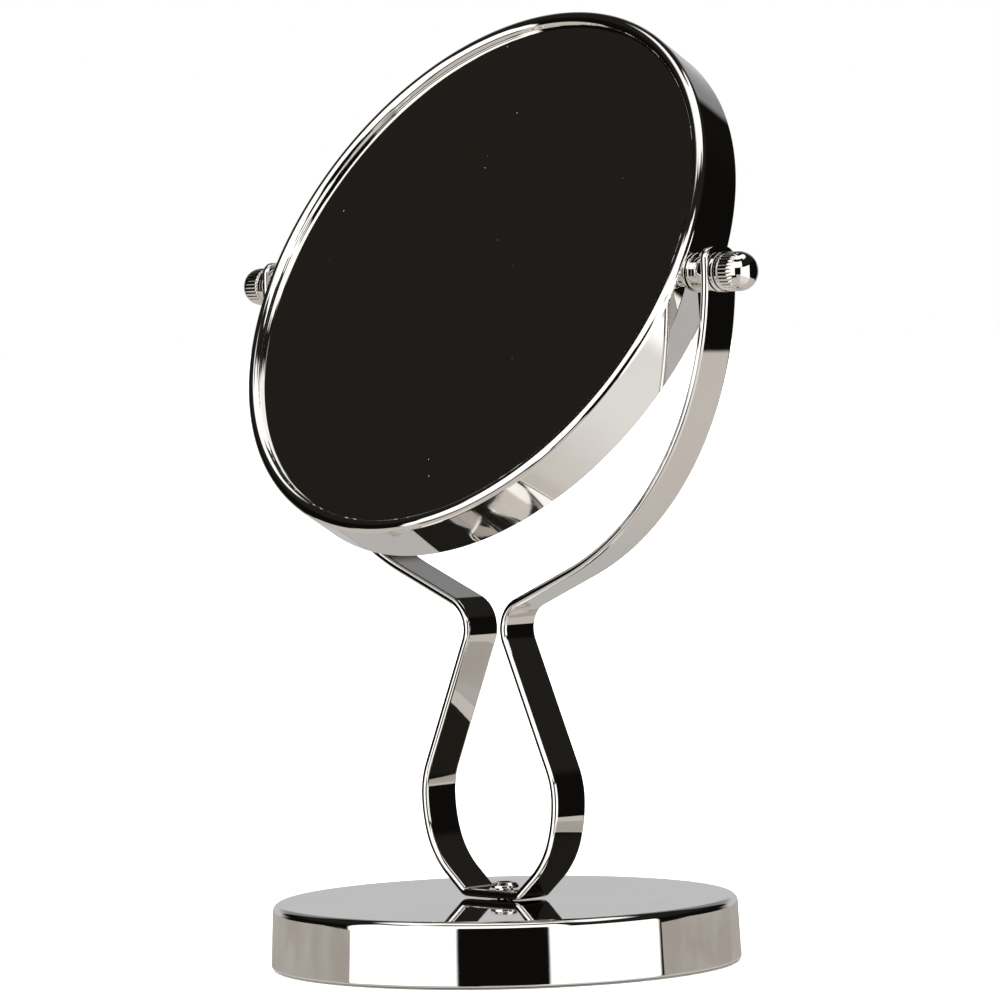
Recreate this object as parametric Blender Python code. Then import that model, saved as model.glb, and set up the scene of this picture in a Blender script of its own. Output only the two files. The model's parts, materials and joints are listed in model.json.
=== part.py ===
"""Countertop mirror with two faces, built piece by piece in metres, +Z up.

A round weighted base carries one bent flat strip: foot, teardrop loop, neck and half-round yoke.
A round mirror head hangs between the yoke's arms on two threaded studs and turns about them.
A knurled thumb knob on each stud clamps the arm. The origin is the middle of the base's underside,
+X points to the right-hand knob and the plain glass faces -Y, tilted up.
"""

import math

import bmesh
import bpy
from mathutils import Vector

# Clearance between pieces that touch on the real object.
FIT_GAP = 0.0003

# Base cup, drawn from sheet, standing on a thin foam pad.
BASE_RADIUS = 0.0675
BASE_TAPER = 0.0008
BASE_HEIGHT = 0.0187
BASE_EDGE_RADIUS = 0.0022
SHELL_WALL = 0.0010
RIM_CLEARANCE = 0.0006
RIM_CURL_WIDTH = 0.0030
RIM_CURL_THICKNESS = 0.0008
RIM_CORNER_RADIUS = 0.0006
SHELL_LEAST_FILLET = 0.0003
PLATE_THICKNESS = 0.0010
PLATE_MARGIN = 0.0007
PAD_MARGIN = 0.0008
WEIGHT_THICKNESS = 0.0060
WEIGHT_WEB = 0.0025
WEIGHT_POCKET_RADIUS = 0.0065

# Foot screw and what is on it.
SCREW_RADIUS = 0.0025
SCREW_HEAD_RADIUS = 0.0042
SCREW_HEAD_HEIGHT = 0.0016
SCREW_HEAD_EDGE = 0.0005
SCREW_SOCKET_FLATS = 0.0030
SCREW_SOCKET_DEPTH = 0.0010
SCREW_PAST_NUT = 0.0004
FOOT_WASHER_RADIUS = 0.0050
FOOT_WASHER_THICKNESS = 0.0010
SPRING_WASHER_RADIUS = 0.0044
SPRING_WASHER_THICKNESS = 0.0009
SPRING_WASHER_RISE = 0.0003
SPRING_WASHER_SLOT_DEG = 14.0
FOOT_NUT_FLATS = 0.0080
FOOT_NUT_HEIGHT = 0.0032

# Strip of the stand. The loop's sizes are those of its outer surface.
STRIP_WIDTH = 0.0124
STRIP_THICKNESS = 0.0024
STRIP_EDGE_RADIUS = 0.0007
FOOT_CORNER_RADIUS = 0.0045
FOOT_SLOPE_DEG = 40.0
FOOT_BEND_RADIUS = 0.0250
LOOP_HALF_WIDTH = 0.02786
LOOP_WIDEST_RISE = 0.0291
LOOP_LOWER_RADIUS = 0.0370
LOOP_UPPER_RADIUS = 0.0227
LEG_LEAN_DEG = 24.6
NECK_RADIUS = 0.0073
SHOULDER_SLOPE_DEG = 22.2
STEM_HEIGHT = 0.0861
ARM_END_RISE = 0.0070
ARM_END_CORNER_RADIUS = 0.0035
ARM_END_STATIONS_DEG = (0, 25, 50, 70, 90)
NARROWEST_CORNER_SHARE = 0.6
CUTTER_OVERSIZE = 3

# Mirror head. Depth runs along the head's own axis, front to back.
HEAD_RADIUS = 0.08475
HEAD_DEPTH = 0.01614
HEAD_WALL = 0.0010
HEAD_OFFSET_X = -0.00205
REST_TILT_DEG = 29.25
FRONT_LIP_RADIUS = 0.0022
BACK_EDGE_RADIUS = 0.0005
BEZEL_LIP_RADIUS = 0.0020
BEZEL_WALL = 0.0010
BEZEL_SKIRT = 0.0010
FRONT_GLASS_THICKNESS = 0.0020
REAR_GLASS_THICKNESS = 0.0018
REAR_GLASS_CURVE_RADIUS = 1.8
CORE_THICKNESS = 0.0010
CUSHION_THICKNESS = 0.0010
CUSHION_WIDTH = 0.0100
CUSHION_EDGE_MARGIN = 0.0015

# Pivots.
YOKE_SIDE_GAP = 0.00425
STUD_RADIUS = 0.0020
STUD_PAST_KNOB_MOUTH = 0.0055
STUD_NUT_FLATS = 0.0060
STUD_NUT_THICKNESS = 0.0012
STUD_NUT_SEAT = 0.0004
COLLAR_FLANGE_RADIUS = 0.0056
COLLAR_FLANGE_THICKNESS = 0.0010
COLLAR_SLEEVE_RADIUS = 0.0043
COLLAR_WAIST_RADIUS = 0.0037
COLLAR_WAIST_START_SHARE = 0.38
COLLAR_WAIST_END_SHARE = 0.52
COLLAR_EDGE = 0.0002
INNER_WASHER_RADIUS = 0.0046
INNER_WASHER_THICKNESS = 0.0005
CLAMP_WASHER_RADIUS = 0.0056
CLAMP_WASHER_THICKNESS = 0.0012
CLAMP_WASHER_EDGE = 0.0004
KNOB_RADIUS = 0.0055
KNOB_LENGTH = 0.0098
KNOB_FLANGE_RADIUS = 0.0052
KNOB_FLANGE_THICKNESS = 0.0011
KNOB_NECK_RADIUS = 0.0046
KNOB_NECK_LENGTH = 0.0004
KNOB_EDGE = 0.0003
KNOB_BORE_DEPTH = 0.0062
KNOB_FLUTES = 30
KNOB_FLUTE_DEPTH = 0.00028
KNOB_FLUTED_DOME_DEG = 28.0

# Facets round a full turn.
LARGE_SEGMENTS = 60
DISC_SEGMENTS = 48
SMALL_SEGMENTS = 24

# Places worked out from the sizes above.
BASE_TOP = BASE_HEIGHT
BASE_TOP_RADIUS = BASE_RADIUS - BASE_TAPER
SHELL_UNDERSIDE = BASE_TOP - SHELL_WALL
CURL_TOP = RIM_CLEARANCE + RIM_CURL_THICKNESS
PLATE_BOTTOM = CURL_TOP + FIT_GAP
PAD_THICKNESS = PLATE_BOTTOM - FIT_GAP
SCREW_HOLE_RADIUS = SCREW_RADIUS + FIT_GAP
FOOT_UNDERSIDE = BASE_TOP + FIT_GAP
FOOT_TOP = FOOT_UNDERSIDE + STRIP_THICKNESS
WEIGHT_TOP = SHELL_UNDERSIDE - FIT_GAP
WASHER_TOP = WEIGHT_TOP - WEIGHT_WEB - FIT_GAP
SPRING_WASHER_TOP = WASHER_TOP - FOOT_WASHER_THICKNESS - FIT_GAP
SPRING_WASHER_HEIGHT = SPRING_WASHER_THICKNESS + SPRING_WASHER_RISE
NUT_TOP = SPRING_WASHER_TOP - SPRING_WASHER_HEIGHT - FIT_GAP
SCREW_END = NUT_TOP - FOOT_NUT_HEIGHT - SCREW_PAST_NUT
YOKE_INNER_RADIUS = HEAD_RADIUS + YOKE_SIDE_GAP
YOKE_RADIUS = YOKE_INNER_RADIUS + STRIP_THICKNESS
PIVOT_HEIGHT = BASE_TOP + STEM_HEIGHT + YOKE_RADIUS
HALF_DEPTH = HEAD_DEPTH / 2
HEAD_BORE_RADIUS = HEAD_RADIUS - HEAD_WALL
STUD_HOLE_RADIUS = STUD_RADIUS + FIT_GAP
STUD_INNER_END = HEAD_BORE_RADIUS - STUD_NUT_SEAT - STUD_NUT_THICKNESS
GLASS_RADIUS = STUD_INNER_END - FIT_GAP
FRONT_GLASS_FACE = HALF_DEPTH - FRONT_LIP_RADIUS - FIT_GAP
FRONT_GLASS_BACK = FRONT_GLASS_FACE - FRONT_GLASS_THICKNESS
FRONT_CUSHION_FACE = FRONT_GLASS_BACK - FIT_GAP
CORE_FACE = FRONT_CUSHION_FACE - CUSHION_THICKNESS - FIT_GAP
CORE_BACK = CORE_FACE - CORE_THICKNESS
CUSHION_OUTER_RADIUS = GLASS_RADIUS - CUSHION_EDGE_MARGIN
CUSHION_INNER_RADIUS = CUSHION_OUTER_RADIUS - CUSHION_WIDTH
REAR_GLASS_FACE = -HALF_DEPTH + BEZEL_LIP_RADIUS + FIT_GAP
BEZEL_RADIUS = HEAD_BORE_RADIUS - FIT_GAP


def clear_scene():
    for old in list(bpy.data.objects):
        bpy.data.objects.remove(old, do_unlink=True)


def make_material(name, colour, metallic, roughness):
    material = bpy.data.materials.new(name)
    material.use_nodes = True
    shader = material.node_tree.nodes["Principled BSDF"]
    shader.inputs["Base Color"].default_value = (*colour, 1.0)
    shader.inputs["Metallic"].default_value = metallic
    shader.inputs["Roughness"].default_value = roughness
    return material


def chrome(name):
    return make_material(name, (0.80, 0.80, 0.79), 1.0, 0.06)


def plated_steel(name):
    return make_material(name, (0.62, 0.62, 0.60), 1.0, 0.30)


def cast_iron(name):
    return make_material(name, (0.10, 0.10, 0.11), 0.6, 0.75)


def foam(name):
    return make_material(name, (0.04, 0.04, 0.045), 0.0, 0.90)


def board(name):
    return make_material(name, (0.38, 0.30, 0.21), 0.0, 0.85)


def nylon(name):
    return make_material(name, (0.75, 0.75, 0.72), 0.0, 0.45)


def mirror_glass(name):
    return make_material(name, (0.86, 0.88, 0.87), 1.0, 0.02)


def empty(name, location, rotation=(0, 0, 0), parent=None):
    frame = bpy.data.objects.new(name, None)
    bpy.context.scene.collection.objects.link(frame)
    frame.location = location
    frame.rotation_euler = rotation
    frame.parent = parent
    return frame


def add_piece(name, bm, material, parent=None, location=(0, 0, 0), rotation=(0, 0, 0)):
    """Turn a bmesh into a named object, shaded smooth with its edges kept."""
    bmesh.ops.recalc_face_normals(bm, faces=bm.faces[:])
    mesh = bpy.data.meshes.new(name)
    bm.to_mesh(mesh)
    bm.free()
    mesh.shade_smooth()
    mesh.set_sharp_from_angle(angle=math.radians(35))
    mesh.materials.append(material)
    piece = bpy.data.objects.new(name, mesh)
    bpy.context.scene.collection.objects.link(piece)
    piece.parent = parent
    piece.location = location
    piece.rotation_euler = rotation
    return piece


def cut(piece, cutter):
    """Cut one object out of another, and hide the cutter."""
    cutter.hide_render = True
    cutter.display_type = "WIRE"
    boolean = piece.modifiers.new("cut_" + cutter.name, "BOOLEAN")
    boolean.operation = "DIFFERENCE"
    boolean.solver = "EXACT"
    boolean.object = cutter


def arc(centre_r, centre_h, radius, start_deg, end_deg, steps):
    """Points of a round stretch of a turned profile, as (radius, height)."""
    points = []
    for i in range(steps + 1):
        angle = math.radians(start_deg + (end_deg - start_deg) * i / steps)
        points.append((centre_r + radius * math.cos(angle), centre_h + radius * math.sin(angle)))
    return points


def hexagon(flats):
    """Outline of a hexagon of this width across flats, as radius by angle."""
    sixth = math.pi / 3
    return lambda angle: flats / 2 / math.cos((angle + sixth / 2) % sixth - sixth / 2)


def flutes(radius, depth):
    """Outline of a round with flutes, as radius by angle: crests and valleys in turn."""
    return lambda angle: radius - depth * (0.5 - 0.5 * math.cos(KNOB_FLUTES * angle))


def turned(points, segments, closed=True):
    """Turn a profile of (radius or outline, height) round the Z axis.

    A closed profile makes a ring. An open one starts and ends on the axis and makes a solid.
    """
    bm = bmesh.new()
    rings = []
    for size, height in points:
        if not callable(size) and size < 1e-7:
            rings.append([bm.verts.new((0, 0, height))] * segments)
            continue
        ring = []
        for i in range(segments):
            angle = 2 * math.pi * i / segments
            radius = size(angle) if callable(size) else size
            ring.append(bm.verts.new((radius * math.cos(angle), radius * math.sin(angle), height)))
        rings.append(ring)
    pairs = list(zip(rings, rings[1:]))
    if closed:
        pairs.append((rings[-1], rings[0]))
    for lower, upper in pairs:
        for i in range(segments):
            j = (i + 1) % segments
            corners = [lower[i], lower[j], upper[j], upper[i]]
            bm.faces.new(list(dict.fromkeys(corners)))
    return bm


def disc_profile(radius, bottom, top, chamfer=0.0):
    """Open profile of a solid disc or rod, with its corners chamfered if asked."""
    if not chamfer:
        return [(0, bottom), (radius, bottom), (radius, top), (0, top)]
    return [
        (0, bottom),
        (radius - chamfer, bottom),
        (radius, bottom + chamfer),
        (radius, top - chamfer),
        (radius - chamfer, top),
        (0, top),
    ]


def ring_profile(inner, outer, bottom, top, chamfer=0.0):
    """Closed profile of a plain ring, with its outer corners chamfered if asked."""
    if not chamfer:
        return [(inner, bottom), (outer, bottom), (outer, top), (inner, top)]
    return [
        (inner, bottom),
        (outer - chamfer, bottom),
        (outer, bottom + chamfer),
        (outer, top - chamfer),
        (outer - chamfer, top),
        (inner, top),
    ]


def rod_cutter(name, radius, length, parent, location, rotation):
    """A round cutter, centred on its place and turned about its own axis."""
    profile = disc_profile(radius, -length / 2, length / 2)
    return add_piece(name, turned(profile, SMALL_SEGMENTS, closed=False), None, parent, location, rotation)


# ---------------------------------------------------------------- base


def shell_profile():
    """Section of the base cup: flat top with a hole, rounded edge, side and inward curled rim."""
    edge = BASE_EDGE_RADIUS
    inner_edge = max(edge - SHELL_WALL, SHELL_LEAST_FILLET)
    corner = RIM_CORNER_RADIUS
    points = [(SCREW_HOLE_RADIUS, BASE_TOP)]
    points += arc(BASE_TOP_RADIUS - edge, BASE_TOP - edge, edge, 90, 0, 4)
    points += arc(BASE_RADIUS - corner, RIM_CLEARANCE + corner, corner, 0, -90, 1)
    curl = BASE_RADIUS - SHELL_WALL - RIM_CURL_WIDTH
    points += [(curl, RIM_CLEARANCE), (curl, CURL_TOP), (BASE_RADIUS - SHELL_WALL, CURL_TOP)]
    inner_top_radius = BASE_TOP_RADIUS - SHELL_WALL
    points += arc(inner_top_radius - inner_edge, SHELL_UNDERSIDE - inner_edge, inner_edge, 0, 90, 1)
    points.append((SCREW_HOLE_RADIUS, SHELL_UNDERSIDE))
    return points


def weight_profile():
    """Section of the iron ring: a web under the cup's top, and a pocket for nut and washers."""
    outer = BASE_TOP_RADIUS - SHELL_WALL - BASE_EDGE_RADIUS
    bottom = WEIGHT_TOP - WEIGHT_THICKNESS
    return [
        (SCREW_HOLE_RADIUS, WEIGHT_TOP),
        (outer, WEIGHT_TOP),
        (outer, bottom),
        (WEIGHT_POCKET_RADIUS, bottom),
        (WEIGHT_POCKET_RADIUS, WEIGHT_TOP - WEIGHT_WEB),
        (SCREW_HOLE_RADIUS, WEIGHT_TOP - WEIGHT_WEB),
    ]


def build_base():
    add_piece("base_shell", turned(shell_profile(), LARGE_SEGMENTS), chrome("base_shell"))
    add_piece("base_weight", turned(weight_profile(), DISC_SEGMENTS), cast_iron("base_weight"))
    plate_radius = BASE_RADIUS - SHELL_WALL - PLATE_MARGIN
    plate = disc_profile(plate_radius, PLATE_BOTTOM, PLATE_BOTTOM + PLATE_THICKNESS)
    add_piece("base_plate", turned(plate, DISC_SEGMENTS, closed=False), plated_steel("base_plate"))
    pad_radius = BASE_RADIUS - SHELL_WALL - RIM_CURL_WIDTH - PAD_MARGIN
    pad = disc_profile(pad_radius, 0, PAD_THICKNESS)
    add_piece("base_pad", turned(pad, DISC_SEGMENTS, closed=False), foam("base_pad"))


# ---------------------------------------------------------------- foot fastening


def screw_profile():
    """Low round head with a hexagon socket, and its shank, point downwards."""
    head_bottom = FOOT_TOP + FIT_GAP
    head_top = head_bottom + SCREW_HEAD_HEIGHT
    socket = hexagon(SCREW_SOCKET_FLATS)
    floor = head_top - SCREW_SOCKET_DEPTH
    return [
        (0, SCREW_END),
        (SCREW_RADIUS - SCREW_HEAD_EDGE, SCREW_END),
        (SCREW_RADIUS, SCREW_END + SCREW_HEAD_EDGE),
        (SCREW_RADIUS, head_bottom),
        (SCREW_HEAD_RADIUS, head_bottom),
        (SCREW_HEAD_RADIUS, head_top - SCREW_HEAD_EDGE),
        (SCREW_HEAD_RADIUS - SCREW_HEAD_EDGE, head_top),
        (socket, head_top),
        (socket, floor),
        (0, floor),
    ]


def spring_washer():
    """Split washer: a square section swept round with a small rise, its two ends apart."""
    bm = bmesh.new()
    inner = SCREW_HOLE_RADIUS
    outer = SPRING_WASHER_RADIUS
    bottom = SPRING_WASHER_TOP - SPRING_WASHER_HEIGHT
    sweep = math.radians(360 - SPRING_WASHER_SLOT_DEG)
    sections = []
    for i in range(SMALL_SEGMENTS + 1):
        angle = sweep * i / SMALL_SEGMENTS
        low = bottom + SPRING_WASHER_RISE * i / SMALL_SEGMENTS
        high = low + SPRING_WASHER_THICKNESS
        corners = [(inner, low), (outer, low), (outer, high), (inner, high)]
        across = Vector((math.cos(angle), math.sin(angle), 0))
        sections.append([bm.verts.new(across * r + Vector((0, 0, h))) for r, h in corners])
    for first, second in zip(sections, sections[1:]):
        for k in range(4):
            n = (k + 1) % 4
            bm.faces.new([first[k], first[n], second[n], second[k]])
    bm.faces.new(sections[0])
    bm.faces.new(sections[-1])
    return bm


def build_foot_fastening():
    screw = turned(screw_profile(), SMALL_SEGMENTS, closed=False)
    add_piece("foot_screw", screw, chrome("foot_screw"))
    washer_bottom = WASHER_TOP - FOOT_WASHER_THICKNESS
    washer = ring_profile(SCREW_HOLE_RADIUS, FOOT_WASHER_RADIUS, washer_bottom, WASHER_TOP)
    add_piece("foot_washer", turned(washer, SMALL_SEGMENTS), plated_steel("foot_washer"))
    add_piece("foot_spring_washer", spring_washer(), plated_steel("foot_spring_washer"))
    nut = ring_profile(SCREW_HOLE_RADIUS, hexagon(FOOT_NUT_FLATS), NUT_TOP - FOOT_NUT_HEIGHT, NUT_TOP)
    add_piece("foot_nut", turned(nut, SMALL_SEGMENTS), plated_steel("foot_nut"))


# ---------------------------------------------------------------- strip


def strip_stations():
    """Places along the strip's right half, from the foot's middle to the arm's tip.

    Each is (point on the outer surface, direction angle, half width), in the XZ plane.
    """
    stations = []
    half = STRIP_WIDTH / 2

    def bend(centre, radius, start, end, steps, turn=1):
        for i in range(1, steps + 1):
            a = start + (end - start) * i / steps
            point = centre + Vector((math.cos(a), math.sin(a))) * radius
            stations.append((point, a + turn * math.pi / 2, half))

    lean = math.radians(LEG_LEAN_DEG)
    slope = math.radians(SHOULDER_SLOPE_DEG)
    widest = BASE_TOP + LOOP_WIDEST_RISE
    lower_centre = Vector((LOOP_HALF_WIDTH - LOOP_LOWER_RADIUS, widest))
    upper_centre = Vector((LOOP_HALF_WIDTH - LOOP_UPPER_RADIUS, widest))
    # The foot's bend touches the foot's height and the lower bend from inside. It ends in a straight
    # slope, which meets the flat foot in a tight corner.
    bend_height = FOOT_UNDERSIDE + FOOT_BEND_RADIUS
    reach = math.sqrt((LOOP_LOWER_RADIUS - FOOT_BEND_RADIUS) ** 2 - (bend_height - widest) ** 2)
    foot_centre = Vector((lower_centre.x + reach, bend_height))
    meet = foot_centre - lower_centre
    meet_angle = math.atan2(meet.y, meet.x)
    foot_slope = math.radians(FOOT_SLOPE_DEG)
    slope_angle = foot_slope - math.pi / 2
    slope_top = foot_centre + Vector((math.cos(slope_angle), math.sin(slope_angle))) * FOOT_BEND_RADIUS
    corner_x = slope_top.x - (slope_top.y - FOOT_UNDERSIDE) / math.tan(foot_slope)
    flat_end = corner_x - FOOT_CORNER_RADIUS * math.tan(foot_slope / 2)
    corner_centre = Vector((flat_end, FOOT_UNDERSIDE + FOOT_CORNER_RADIUS))
    stations.append((Vector((0, FOOT_UNDERSIDE)), 0.0, half))
    stations.append((Vector((flat_end, FOOT_UNDERSIDE)), 0.0, half))
    bend(corner_centre, FOOT_CORNER_RADIUS, -math.pi / 2, slope_angle, 4)
    stations.append((slope_top, foot_slope, half))
    bend(foot_centre, FOOT_BEND_RADIUS, slope_angle, meet_angle, 4)
    bend(lower_centre, LOOP_LOWER_RADIUS, meet_angle, 0, 3)
    bend(upper_centre, LOOP_UPPER_RADIUS, 0, lean, 3)
    # The leg and the shoulder are straight, and the neck's bend touches both from outside.
    leg_start = stations[-1][0]
    leg_way = Vector((-math.sin(lean), math.cos(lean)))
    leg_side = Vector((math.cos(lean), math.sin(lean)))
    pivot = Vector((0, PIVOT_HEIGHT))
    shoulder_way = Vector((math.cos(slope), math.sin(slope)))
    shoulder_side = Vector((math.sin(slope), -math.cos(slope)))
    shoulder_end = pivot + shoulder_side * YOKE_RADIUS
    apart = shoulder_end + shoulder_side * NECK_RADIUS - leg_start - leg_side * NECK_RADIUS
    leg_length = apart.cross(shoulder_way) / leg_way.cross(shoulder_way)
    neck_centre = leg_start + leg_side * NECK_RADIUS + leg_way * leg_length
    stations.append((neck_centre - leg_side * NECK_RADIUS, math.pi / 2 + lean, half))
    bend(neck_centre, NECK_RADIUS, math.pi + lean, math.pi / 2 + slope, 7, turn=-1)
    stations.append((shoulder_end, slope, half))
    bend(pivot, YOKE_RADIUS, slope - math.pi / 2, 0, 13)
    # The arm's end is cut square above the pivot hole, with its two corners rounded.
    corner = ARM_END_CORNER_RADIUS
    for degrees in ARM_END_STATIONS_DEG:
        turn = math.radians(degrees)
        a = math.asin((ARM_END_RISE - corner + corner * math.sin(turn)) / YOKE_RADIUS)
        point = pivot + Vector((math.cos(a), math.sin(a))) * YOKE_RADIUS
        stations.append((point, a + math.pi / 2, half - corner + corner * math.cos(turn)))
    return stations


def strip_section(bm, point, angle, half_width):
    """One cross section of the strip, a rectangle with its corners cut."""
    inward = Vector((-math.sin(angle), math.cos(angle)))
    corner = min(STRIP_EDGE_RADIUS, half_width * NARROWEST_CORNER_SHARE)
    low, high = corner, STRIP_THICKNESS - corner
    inset = half_width - corner
    outline = [
        (-inset, 0),
        (inset, 0),
        (half_width, low),
        (half_width, high),
        (inset, STRIP_THICKNESS),
        (-inset, STRIP_THICKNESS),
        (-half_width, high),
        (-half_width, low),
    ]
    ring = []
    for across, depth in outline:
        place = point + inward * depth
        ring.append(bm.verts.new((place.x, across, place.y)))
    return ring


def build_strip():
    right = strip_stations()
    left = [(Vector((-p.x, p.y)), -angle, half) for p, angle, half in reversed(right[1:])]
    bm = bmesh.new()
    sections = [strip_section(bm, *station) for station in left + right]
    for first, second in zip(sections, sections[1:]):
        for k in range(len(first)):
            n = (k + 1) % len(first)
            bm.faces.new([first[k], first[n], second[n], second[k]])
    bm.faces.new(sections[0])
    bm.faces.new(sections[-1])
    strip = add_piece("yoke_strip", bm, chrome("yoke_strip"))
    side = (0, math.pi / 2, 0)
    span = 2 * YOKE_RADIUS + STRIP_WIDTH
    cut(strip, rod_cutter("yoke_hole_cutter", STUD_HOLE_RADIUS, span, None, (0, 0, PIVOT_HEIGHT), side))
    foot_middle = (0, 0, FOOT_UNDERSIDE + STRIP_THICKNESS / 2)
    depth = STRIP_THICKNESS * CUTTER_OVERSIZE
    cut(strip, rod_cutter("foot_hole_cutter", SCREW_HOLE_RADIUS, depth, None, foot_middle, (0, 0, 0)))


# ---------------------------------------------------------------- mirror head


def rim_profile():
    """Section of the band: round front lip over the glass, thin wall, softened back edge."""
    lip = FRONT_LIP_RADIUS
    back = BACK_EDGE_RADIUS
    points = arc(HEAD_RADIUS - lip, HALF_DEPTH - lip, lip, 0, 180, 7)
    points += [(HEAD_BORE_RADIUS, HALF_DEPTH - lip), (HEAD_BORE_RADIUS, -HALF_DEPTH)]
    points += arc(HEAD_RADIUS - back, -HALF_DEPTH + back, back, -90, 0, 1)
    return points


def bezel_profile():
    """Section of the rear ring: round lip outside, short skirt inside."""
    lip = BEZEL_LIP_RADIUS
    seat = -HALF_DEPTH + lip
    skirt_end = seat + BEZEL_SKIRT
    points = arc(BEZEL_RADIUS - lip, seat, lip, -180, 0, 6)
    wall = BEZEL_RADIUS - BEZEL_WALL
    points += [(BEZEL_RADIUS, skirt_end), (wall, skirt_end), (wall, seat)]
    return points


def rear_glass_sag(radius):
    """How far the concave face has sunk at this radius, from the glass's edge."""
    curve = REAR_GLASS_CURVE_RADIUS
    return math.sqrt(curve**2 - radius**2) - math.sqrt(curve**2 - GLASS_RADIUS**2)


def rear_glass_profile():
    """Section of the magnifying glass: both faces follow one shallow curve."""
    steps = 4
    radii = [GLASS_RADIUS * i / steps for i in range(steps + 1)]
    outer_face = [(r, REAR_GLASS_FACE + rear_glass_sag(r)) for r in radii]
    inner_face = [(r, h + REAR_GLASS_THICKNESS) for r, h in reversed(outer_face)]
    return outer_face + inner_face


def build_head(head_axis):
    """The head's profiles are turned about Z, front up, and then face the head's -Y."""
    facing = (math.pi / 2, 0, 0)
    middle = (HEAD_OFFSET_X, 0, 0)

    def place(name, bm, material):
        return add_piece(name, bm, material, head_axis, middle, facing)

    band = place("rim_band", turned(rim_profile(), LARGE_SEGMENTS), chrome("rim_band"))
    span = 2 * (HEAD_RADIUS + COLLAR_FLANGE_RADIUS)
    side = (0, math.pi / 2, 0)
    cut(band, rod_cutter("band_hole_cutter", STUD_HOLE_RADIUS, span, head_axis, middle, side))
    place("rear_bezel", turned(bezel_profile(), LARGE_SEGMENTS), chrome("rear_bezel"))
    front = disc_profile(GLASS_RADIUS, FRONT_GLASS_BACK, FRONT_GLASS_FACE)
    place("front_glass", turned(front, LARGE_SEGMENTS, closed=False), mirror_glass("front_glass"))
    rear = turned(rear_glass_profile(), DISC_SEGMENTS, closed=False)
    place("rear_glass", rear, mirror_glass("rear_glass"))
    core_radius = CUSHION_OUTER_RADIUS
    core = disc_profile(core_radius, CORE_BACK, CORE_FACE)
    place("core_disc", turned(core, DISC_SEGMENTS, closed=False), board("core_disc"))
    cushion = (CUSHION_INNER_RADIUS, CUSHION_OUTER_RADIUS)
    front_cushion = ring_profile(*cushion, FRONT_CUSHION_FACE - CUSHION_THICKNESS, FRONT_CUSHION_FACE)
    place("front_cushion", turned(front_cushion, DISC_SEGMENTS), foam("front_cushion"))
    glass_inside = REAR_GLASS_FACE + REAR_GLASS_THICKNESS
    rear_back = glass_inside + rear_glass_sag(CUSHION_INNER_RADIUS) + FIT_GAP
    rear_cushion = ring_profile(*cushion, rear_back, CORE_BACK - FIT_GAP)
    place("rear_cushion", turned(rear_cushion, DISC_SEGMENTS), foam("rear_cushion"))


# ---------------------------------------------------------------- pivots


def collar_profile(bottom, top):
    """Flange against the band, then a sleeve with a waist as far as the inner washer."""
    edge = COLLAR_EDGE
    bore = STUD_HOLE_RADIUS
    sleeve_start = bottom + COLLAR_FLANGE_THICKNESS
    if top - sleeve_start < 4 * edge:
        return ring_profile(bore, COLLAR_FLANGE_RADIUS, bottom, top, min(edge, (top - bottom) / 4))
    sleeve_length = top - sleeve_start
    waist_start = sleeve_start + sleeve_length * COLLAR_WAIST_START_SHARE
    waist_end = sleeve_start + sleeve_length * COLLAR_WAIST_END_SHARE
    return [
        (bore, bottom),
        (COLLAR_FLANGE_RADIUS - edge, bottom),
        (COLLAR_FLANGE_RADIUS, bottom + edge),
        (COLLAR_FLANGE_RADIUS, sleeve_start - edge),
        (COLLAR_FLANGE_RADIUS - edge, sleeve_start),
        (COLLAR_SLEEVE_RADIUS, sleeve_start),
        (COLLAR_SLEEVE_RADIUS, waist_start),
        (COLLAR_WAIST_RADIUS, waist_start + edge),
        (COLLAR_WAIST_RADIUS, waist_end - edge),
        (COLLAR_SLEEVE_RADIUS, waist_end),
        (COLLAR_SLEEVE_RADIUS, top),
        (bore, top),
    ]


def knob_profile():
    """Thumb nut from its mouth at height 0: flange, neck, fluted body and dome, with a blind bore."""
    edge = KNOB_EDGE
    flange_end = KNOB_FLANGE_THICKNESS
    body_start = flange_end + KNOB_NECK_LENGTH
    dome_start = KNOB_LENGTH - KNOB_RADIUS
    fluted = flutes(KNOB_RADIUS, KNOB_FLUTE_DEPTH)
    shoulder = flutes(KNOB_RADIUS - edge, KNOB_FLUTE_DEPTH)
    points = [
        (0, KNOB_BORE_DEPTH),
        (STUD_HOLE_RADIUS, KNOB_BORE_DEPTH),
        (STUD_HOLE_RADIUS, 0),
        (KNOB_FLANGE_RADIUS - edge, 0),
        (KNOB_FLANGE_RADIUS, edge),
        (KNOB_FLANGE_RADIUS, flange_end - edge),
        (KNOB_NECK_RADIUS, flange_end),
        (KNOB_NECK_RADIUS, body_start),
        (shoulder, body_start),
        (fluted, body_start + edge),
        (fluted, dome_start),
    ]
    fluted_end = math.radians(KNOB_FLUTED_DOME_DEG)
    end_radius = KNOB_RADIUS * math.cos(fluted_end)
    end_height = dome_start + KNOB_RADIUS * math.sin(fluted_end)
    points.append((flutes(end_radius, KNOB_FLUTE_DEPTH), end_height))
    dome = arc(0, dome_start, KNOB_RADIUS, KNOB_FLUTED_DOME_DEG, 90, 3)
    points += dome[1:-1]
    points.append((0, KNOB_LENGTH))
    return points


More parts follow.
